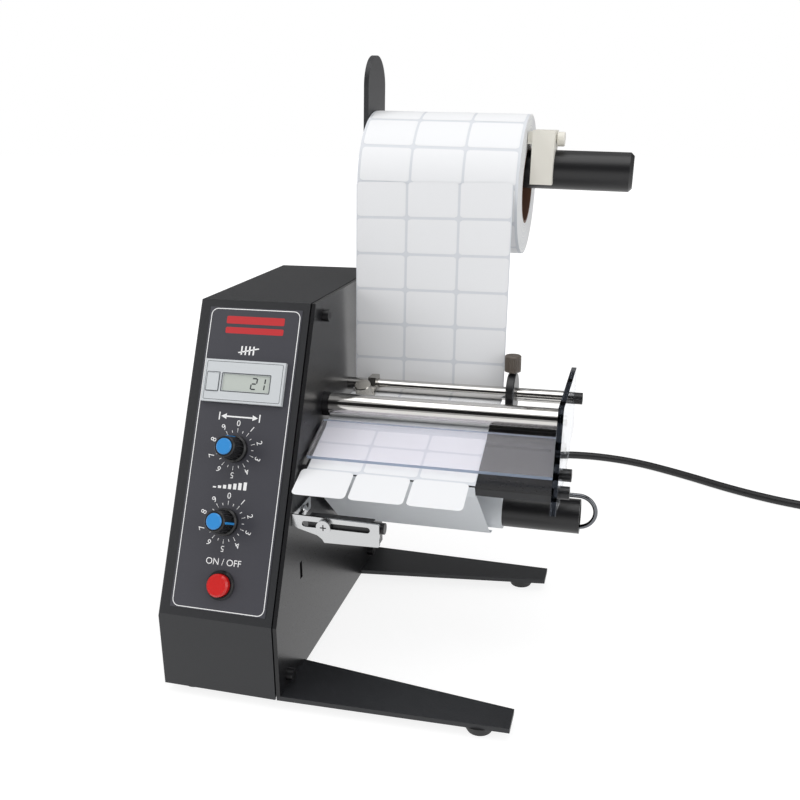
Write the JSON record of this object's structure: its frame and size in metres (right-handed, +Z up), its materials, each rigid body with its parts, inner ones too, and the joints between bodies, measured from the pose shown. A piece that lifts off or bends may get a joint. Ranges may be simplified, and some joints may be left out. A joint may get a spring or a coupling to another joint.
{
  "type": "label dispenser",
  "caption": "Benchtop label dispenser: sloped control case, side plate on two legs, supply roll on a bar, roller feed, peel table and liner rewind",
  "frame": {"origin": "bench level, on the side plate's outer face, at the front of the case", "axes": "+X right along the rollers, +Y to the back, +Z up"},
  "size_m": [0.5263, 0.438, 0.3439],
  "materials": {
    "black_powder_coat": "satin",
    "black_satin_plate": "semi-gloss",
    "overlay_film": "satin",
    "light_grey_plastic": "satin",
    "lcd_glass": "gloss",
    "black_plastic": "satin",
    "blue_plastic": "gloss",
    "red_plastic": "gloss",
    "black_rubber": "matte",
    "chromed_steel": "polished",
    "stainless": "brushed",
    "nickel": "polished",
    "bronze": "satin",
    "white_paper": "matte",
    "glassine": "satin",
    "brown_board": "matte",
    "ivory_plastic": "satin",
    "clear_acrylic": "gloss",
    "aluminium_works": "satin",
    "circuit_board": "satin"
  },
  "bodies": {
    "case": {"side_plate": "black_satin_plate", "housing_cover": "black_powder_coat", "bottom_plate": "black_powder_coat", "front_leg": "black_powder_coat", "rear_leg": "black_powder_coat", "rubber_feet": "black_rubber", "machine_screws": "black_plastic", "panel_overlay": "overlay_film", "counter_body": "light_grey_plastic", "counter_window": "lcd_glass", "dial_bushes": "aluminium_works", "power_bezel": "black_plastic", "power_switch": "black_plastic", "supply_bar": "black_powder_coat", "supply_tube": "black_plastic", "shaft_bushes": "bronze", "guide_rod": "chromed_steel", "feed_table": "stainless", "clear_cover": "clear_acrylic", "peeled_labels": "white_paper", "peel_bar": "black_powder_coat", "tie_rods": "black_powder_coat", "end_plate": "clear_acrylic", "label_web": "white_paper", "liner_return": "glassine", "gear_motor": "aluminium_works", "control_board": "circuit_board", "power_supply": "aluminium_works", "power_cord": "black_rubber", "cord_gland": "black_rubber", "cord_coil": "black_rubber", "power_plug": "black_rubber"},
    "supply_roll": {"label_roll": "white_paper", "roll_core": "brown_board"},
    "roll_stop": {"roll_clip": "ivory_plastic"},
    "roll_stop_screw": {"clip_screw": "ivory_plastic"},
    "drive": {"drive_roller": "black_rubber", "drive_shaft": "stainless"},
    "pressure": {"pressure_roller": "chromed_steel"},
    "rewind": {"rewind_tube": "black_plastic", "rewind_shaft": "stainless", "wound_liner": "glassine"},
    "liner_clip": {"wire_clip": "chromed_steel"},
    "length_dial": {"length_knob": "black_plastic", "length_knob_cap": "blue_plastic", "length_knob_shaft": "aluminium_works"},
    "speed_dial": {"speed_knob": "black_plastic", "speed_knob_cap": "blue_plastic", "speed_knob_shaft": "aluminium_works"},
    "power_key": {"power_button": "red_plastic"},
    "reset_key": {"reset_button": "light_grey_plastic"},
    "right_guide": {"right_collar": "black_plastic"},
    "right_guide_screw": {"right_thumb_screw": "nickel"},
    "left_web_guide": {"left_guide": "nickel"},
    "left_guide_screw": {"left_thumb_screw": "chromed_steel"},
    "sensor_mount": {"sensor_bracket": "stainless", "sensor_screws": "stainless"},
    "sensor": {"label_sensor": "black_plastic"}
  },
  "joints": [
    {"name": "supply_roll_spin", "type": "hinge", "parent": "case", "child": "supply_roll", "pos_m": [0.05241, 0.18245, 0.26865], "axis": [0.9995, 0, -0.0304], "continuous": true},
    {"name": "roll_stop_slide", "type": "slide", "parent": "case", "child": "roll_stop", "axis": [0.9995, 0, -0.0304], "range_m": [0, 0.045]},
    {"name": "roll_stop_screw_turn", "type": "hinge", "parent": "roll_stop", "child": "roll_stop_screw", "pos_m": [0.11912, 0.17845, 0.29433], "axis": [0.9995, 0, -0.0304], "continuous": true},
    {"name": "drive_roller_spin", "type": "hinge", "parent": "case", "child": "drive", "pos_m": [0.05, 0.0875, 0.1327], "axis": [1, 0, 0], "continuous": true},
    {"name": "pressure_roller_spin", "type": "hinge", "parent": "case", "child": "pressure", "pos_m": [0.05, 0.0875, 0.1486], "axis": [1, 0, 0], "continuous": true},
    {"name": "rewind_spin", "type": "hinge", "parent": "case", "child": "rewind", "pos_m": [0.05, 0.106, 0.0843], "axis": [1, 0, 0], "continuous": true},
    {"name": "liner_clip_pull", "type": "slide", "parent": "rewind", "child": "liner_clip", "axis": [1, 0, 0], "range_m": [0, 0.155]},
    {"name": "length_dial_turn", "type": "hinge", "parent": "case", "child": "length_dial", "pos_m": [-0.0365, 0.04113, 0.1338], "axis": [0, -0.8967, 0.4427], "range_deg": [-300, 0]},
    {"name": "speed_dial_turn", "type": "hinge", "parent": "case", "child": "speed_dial", "pos_m": [-0.0365, 0.02333, 0.09775], "axis": [0, -0.8967, 0.4427], "range_deg": [-215, 85]},
    {"name": "power_key_press", "type": "slide", "parent": "case", "child": "power_key", "axis": [0, -0.8967, 0.4427], "range_m": [-0.0025, 0], "stiffness_N_per_m": 400},
    {"name": "reset_key_press", "type": "slide", "parent": "case", "child": "reset_key", "axis": [0, -0.8967, 0.4427], "range_m": [-0.0008, 0], "stiffness_N_per_m": 300},
    {"name": "right_guide_slide", "type": "slide", "parent": "case", "child": "right_guide", "axis": [1, 0, 0], "range_m": [-0.003, 0.028]},
    {"name": "right_guide_screw_turn", "type": "hinge", "parent": "right_guide", "child": "right_guide_screw", "pos_m": [0.1032, 0.1326, 0.1612], "axis": [0, 0, 1], "continuous": true},
    {"name": "left_guide_slide", "type": "slide", "parent": "case", "child": "left_web_guide", "axis": [1, 0, 0], "range_m": [-0.008, 0.03]},
    {"name": "left_guide_screw_turn", "type": "hinge", "parent": "left_web_guide", "child": "left_guide_screw", "pos_m": [0.0168, 0.112, 0.1459], "axis": [0, -0.4384, 0.8988], "continuous": true},
    {"name": "sensor_mount_slide", "type": "slide", "parent": "case", "child": "sensor_mount", "axis": [0, 1, 0], "range_m": [-0.008, 0.008]},
    {"name": "sensor_slide", "type": "slide", "parent": "sensor_mount", "child": "sensor", "axis": [1, 0, 0], "range_m": [-0.005, 0.02]}
  ],
  "couplings": [
    {"joint": "pressure_roller_spin", "follows": "drive_roller_spin", "ratio": -1.2687},
    {"joint": "rewind_spin", "follows": "drive_roller_spin", "ratio": 0.72961}
  ]
}
